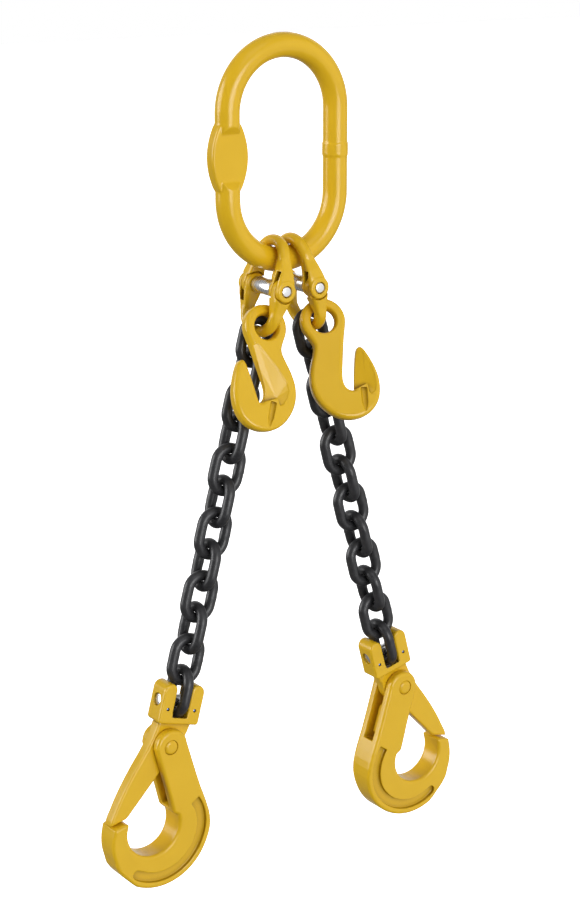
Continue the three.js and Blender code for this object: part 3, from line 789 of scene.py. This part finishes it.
def retaining_pin(side):
    end, r = CLEVIS["half_t"] - 0.3, CLEVIS["keep"]
    half = [(0, -end), (r - 0.5, -end), (r - 0.15, -end + 0.15), (r, -end + 0.5)]
    return moved(turned(both_ends(half), 32), side * CLEVIS["keep_u"], 0, CLEVIS["keep_v"])


def lock_trigger():
    """A flat-backed lever in the fork, with a toe at its foot."""
    u, v = TRIGGER["u"], TRIGGER["v"]
    lever = [(u - 9.2, v - 8.2), (u - 9.2, v - 8.2), (u - 5.6, v - 9.4), (u - 2.6, v - 6.4),
             (u + 2.5, v - 6.4), (u + 6, v - 3), (u + 7.4, v + 3), (u + 6.6, v + 10), (u + 3, v + 10.6),
             (u + 1.4, v + 9.2)]
    bore = rod(TRIGGER["pin"] + GAP, -THROUGH, THROUGH, u, v)
    body = plate(softened(lever, 2), TRIGGER["half_t"], TRIGGER["edge"])
    return forged([body], (), [bore], grain=0.3, smooth=2)


def trigger_pin():
    end, r = TRIGGER["pin_half"], TRIGGER["pin"]
    side = [(0, -end), (r - 0.3, -end), (r, -end + 0.3)]
    return moved(turned(both_ends(side), 32), TRIGGER["u"], 0, TRIGGER["v"])


def trigger_spring():
    coil = SPRING_COIL
    r = coil["radius"]
    steps = 90
    points = []
    for i in range(steps + 1):
        a = 2 * math.pi * coil["turns"] * i / steps
        points.append((r * math.cos(a), r * math.sin(a), coil["height"] * i / steps))
    return moved(turned_about(wire(points, coil["wire"]), "Y", coil["tilt"]), coil["u"], 0, coil["v"])


# ------------------------------------------------------------------ assembly
def coupling_pieces():
    """One mesh for each piece of a coupling link; both couplings share them."""
    return {
        "upper": finished(coupling_half(UPPER_HALF), PAINT),
        "lower": finished(coupling_half(LOWER_HALF), PAINT),
        "pin": finished(coupling_pin(), STEEL),
        "sleeve": finished(coupling_sleeve(), STEEL),
    }


def hook_pieces():
    """One mesh for each piece of a self-locking hook; both hooks share them."""
    return {
        "clevis_latch": finished(clevis_latch(), PAINT),
        "hook_body": finished(hook_body(), PAINT),
        "pivot_rivet": finished(pivot_rivet(), PAINT),
        "load_pin": finished(load_pin(), STEEL),
        "retaining_pin_inner": finished(retaining_pin(-1), BLUED),
        "retaining_pin_outer": finished(retaining_pin(1), BLUED),
        "lock_trigger": finished(lock_trigger(), PAINT),
        "trigger_pin": finished(trigger_pin(), STEEL),
        "trigger_spring": finished(trigger_spring(), SPRING),
    }


def leg_direction(tag):
    """The way a leg runs down, from its first chain joint to its load pin."""
    return (JOINT_AT[f"clevis_swing_{tag}"] - JOINT_AT[f"chain_joint_{tag}_01"]).normalized()


def build_coupling(tag, meshes):
    origin = JOINT_AT[f"coupling_pin_turn_{tag}"]
    y = Vector((0, 1, 0))
    along = leg_direction(tag)
    x = JOINT_AXIS[f"coupling_swing_{tag}"]
    upper = framed(origin, x, y, x.cross(y))
    lower = framed(origin, y.cross(along), y, along)
    place(f"coupling_upper_half_{tag}", meshes["upper"], upper)
    place(f"coupling_lower_half_{tag}", meshes["lower"], lower)
    place(f"coupling_pin_{tag}", meshes["pin"], upper)
    place(f"coupling_sleeve_{tag}", meshes["sleeve"], upper)


def build_grab_hook(tag, mesh):
    """The left hook is the right one turned half round, so it shows its other face."""
    pose = GRAB_POSE[tag]
    turn = Matrix.Rotation(math.radians(pose["yaw"]), 4, "Z")
    turn = turn @ Matrix.Rotation(math.radians(-pose["pitch"]), 4, "X")
    turn = turn @ Matrix.Rotation(math.radians(-pose["lean"]), 4, "Y")
    if tag == "left":
        turn = turn @ Matrix.Rotation(math.pi, 4, "Z")
    place(f"grab_hook_{tag}", mesh, Matrix.Translation(JOINT_AT[f"grab_hook_swing_{tag}"]) @ turn)


def build_leg(tag, side, link, hook):
    """A leg's chain, whose links take turns to lie across and along Y, and its hook."""
    z = -leg_direction(tag)
    y = Vector((0, 1, 0))
    x = y.cross(z)
    for k in range(1, CHAIN["links"] + 1):
        node = f"chain_link_{tag}_{k:02d}"
        matrix = framed(centre(node), x, y, z) if k % 2 else framed(centre(node), y, -x, z)
        place(node, link, matrix)
    origin = JOINT_AT[f"clevis_swing_{tag}"] - z * (CLEVIS["pin_v"] * MM)
    seat = framed(origin, x * side, y * side, z)
    for name, mesh in hook.items():
        place(f"{name}_{tag}", mesh, seat)


place("master_link", finished(master_link(), PAINT), Matrix.Identity(4))
coupling_meshes = coupling_pieces()
grab_mesh = finished(grab_hook(), PAINT)
link_mesh = finished(chain_link(), CHAIN_BLACK)
hook_meshes = hook_pieces()
for tag, side in SIDES.items():
    build_coupling(tag, coupling_meshes)
    build_grab_hook(tag, grab_mesh)
    build_leg(tag, side, link_mesh, hook_meshes)


# ------------------------------------------------------------------ studio
def studio_floor():
    """A plain pale floor well below the hanging sling."""
    size, drop = 12.0, 0.35
    low = cad_bounds[0][2] - drop
    corners = [(-size, -size, low), (size, -size, low), (size, size, low), (-size, size, low)]
    mesh = mesh_of(corners, [(0, 1, 2, 3)])
    mat, _, shader = material("pale_floor", 0.9)
    shader.inputs["Base Color"].default_value = (0.95, 0.95, 0.95, 1)
    shader.inputs["Emission Color"].default_value = (1, 1, 1, 1)
    shader.inputs["Emission Strength"].default_value = 1.0
    mesh.materials.append(mat)
    floor = linked("studio_floor", mesh)
    # the floor is only seen: the pale world lights the object from below
    floor.visible_diffuse = False
    floor.visible_glossy = False


def soft_sun(name, direction, strength, width):
    """A wide even light that comes from one direction; width is in degrees."""
    data = bpy.data.lights.new(name, "SUN")
    data.energy = strength
    data.angle = math.radians(width)
    obj = linked(name, data)
    obj.rotation_euler = Vector(direction).normalized().to_track_quat("Z", "Y").to_euler()


def white_world():
    """White behind the object, a softer white as light."""
    world = bpy.data.worlds.new("studio")
    bpy.context.scene.world = world
    world.use_nodes = True
    tree = world.node_tree
    tree.nodes.clear()
    seen = tree.nodes.new("ShaderNodeBackground")
    seen.inputs["Strength"].default_value = 1.0
    seen.inputs["Color"].default_value = (1, 1, 1, 1)
    light = tree.nodes.new("ShaderNodeBackground")
    where = tree.nodes.new("ShaderNodeTexCoord")
    split = tree.nodes.new("ShaderNodeSeparateXYZ")
    # dimmer from below than from above
    sky = tree.nodes.new("ShaderNodeMapRange")
    sky.inputs["From Min"].default_value = -1.0
    sky.inputs["To Min"].default_value = 0.18
    sky.inputs["To Max"].default_value = 0.42
    tree.links.new(where.outputs["Generated"], split.inputs[0])
    tree.links.new(split.outputs["Z"], sky.inputs["Value"])
    tree.links.new(sky.outputs["Result"], light.inputs["Strength"])
    path = tree.nodes.new("ShaderNodeLightPath")
    mix = tree.nodes.new("ShaderNodeMixShader")
    out = tree.nodes.new("ShaderNodeOutputWorld")
    tree.links.new(path.outputs["Is Camera Ray"], mix.inputs["Fac"])
    tree.links.new(light.outputs[0], mix.inputs[1])
    tree.links.new(seen.outputs[0], mix.inputs[2])
    tree.links.new(mix.outputs[0], out.inputs["Surface"])


def camera():
    """Left of the front and a little above, with a long lens."""
    data = bpy.data.cameras.new("camera")
    data.sensor_width = CAMERA["sensor"]
    data.lens = CAMERA["lens"]
    obj = linked("camera", data)
    obj.location = CAMERA["place"]
    obj.rotation_euler = [math.radians(a) for a in CAMERA["turn"]]
    bpy.context.scene.camera = obj


bpy.context.scene.view_settings.view_transform = "Standard"
studio_floor()
white_world()
for name, (direction, strength, width) in LIGHTS.items():
    soft_sun(name, direction, strength, width)
camera()
